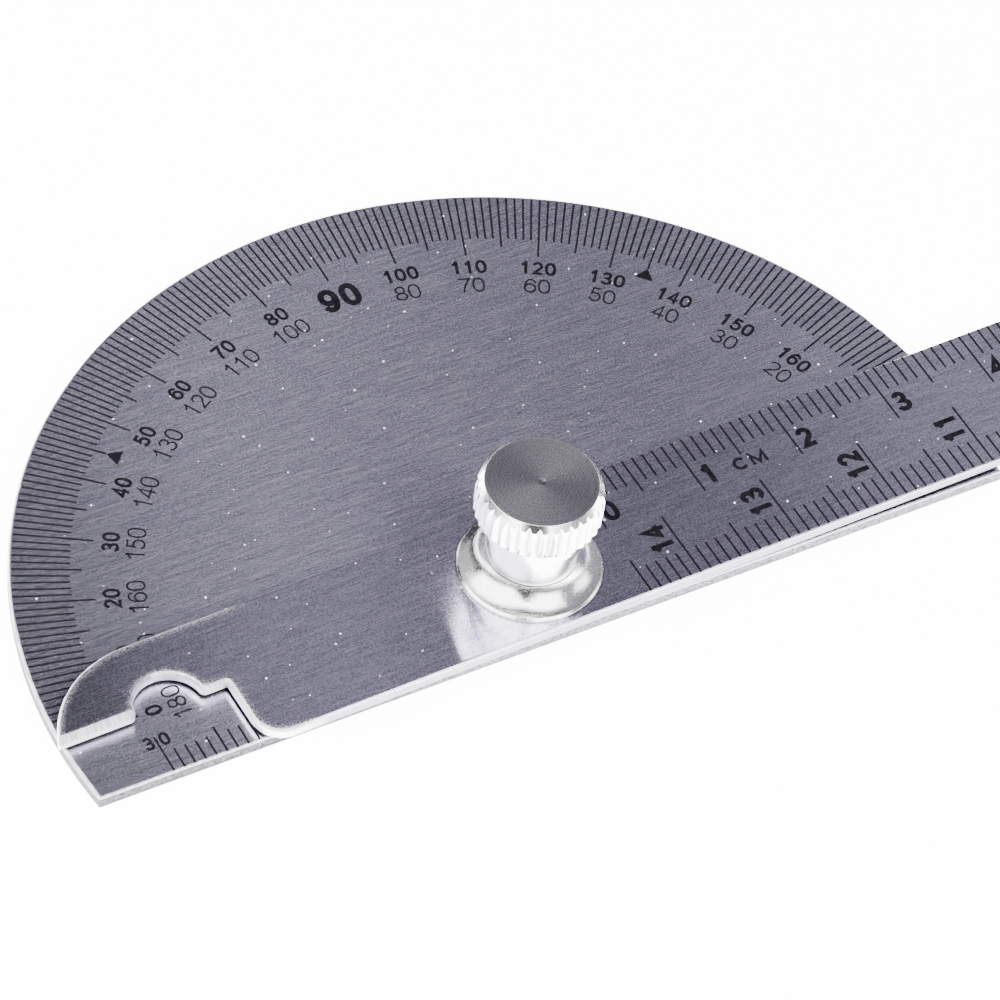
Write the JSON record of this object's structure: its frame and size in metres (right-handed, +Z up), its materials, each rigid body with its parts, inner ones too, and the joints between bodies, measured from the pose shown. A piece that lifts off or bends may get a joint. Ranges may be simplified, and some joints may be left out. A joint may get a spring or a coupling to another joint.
{
  "type": "bevel protractor",
  "caption": "Semicircular steel bevel protractor with a rule arm that swings on a central stud and is locked by a knurled thumb nut on a flared collar.",
  "frame": {"origin": "on the pivot axis, in the plane of the plate's underside, where the flush head of the stud ends", "axes": "+Z up along the pivot axis towards the thumb nut, +X along the straight base towards the free end of the rule, +Y from the base towards the middle of the rim"},
  "size_m": [0.1985, 0.0521, 0.0137],
  "materials": {
    "plate_steel": "fine straight brushing along the base, black ink graduations",
    "rule_steel": "fine straight brushing along the rule, black ink graduations",
    "stud_steel": "turned, bright",
    "washer_steel": "plain rolled shim",
    "collar_nickel": "satin nickel plate",
    "nut_nickel": "bright nickel plate, turned end face"
  },
  "bodies": {
    "head": {"protractor_plate": "plate_steel", "pivot_stud": "stud_steel", "pivot_washer": "washer_steel"},
    "rule": {"ruler_arm": "rule_steel"},
    "collar": {"thrust_collar": "collar_nickel"},
    "nut": {"clamp_nut": "nut_nickel"}
  },
  "joints": [
    {"name": "arm_swing", "type": "hinge", "parent": "head", "child": "rule", "pos_m": [0, 0, 0], "axis": [0, 0, 1], "continuous": true},
    {"name": "nut_turn", "type": "hinge", "parent": "collar", "child": "nut", "pos_m": [0, 0, 0], "axis": [0, 0, 1], "range_deg": [0, 360]},
    {"name": "nut_rise", "type": "slide", "parent": "head", "child": "collar", "axis": [0, 0, 1], "range_m": [0, 0.0008]}
  ],
  "couplings": [
    {"joint": "nut_turn", "follows": "nut_rise", "rad_per_m": 7854}
  ]
}
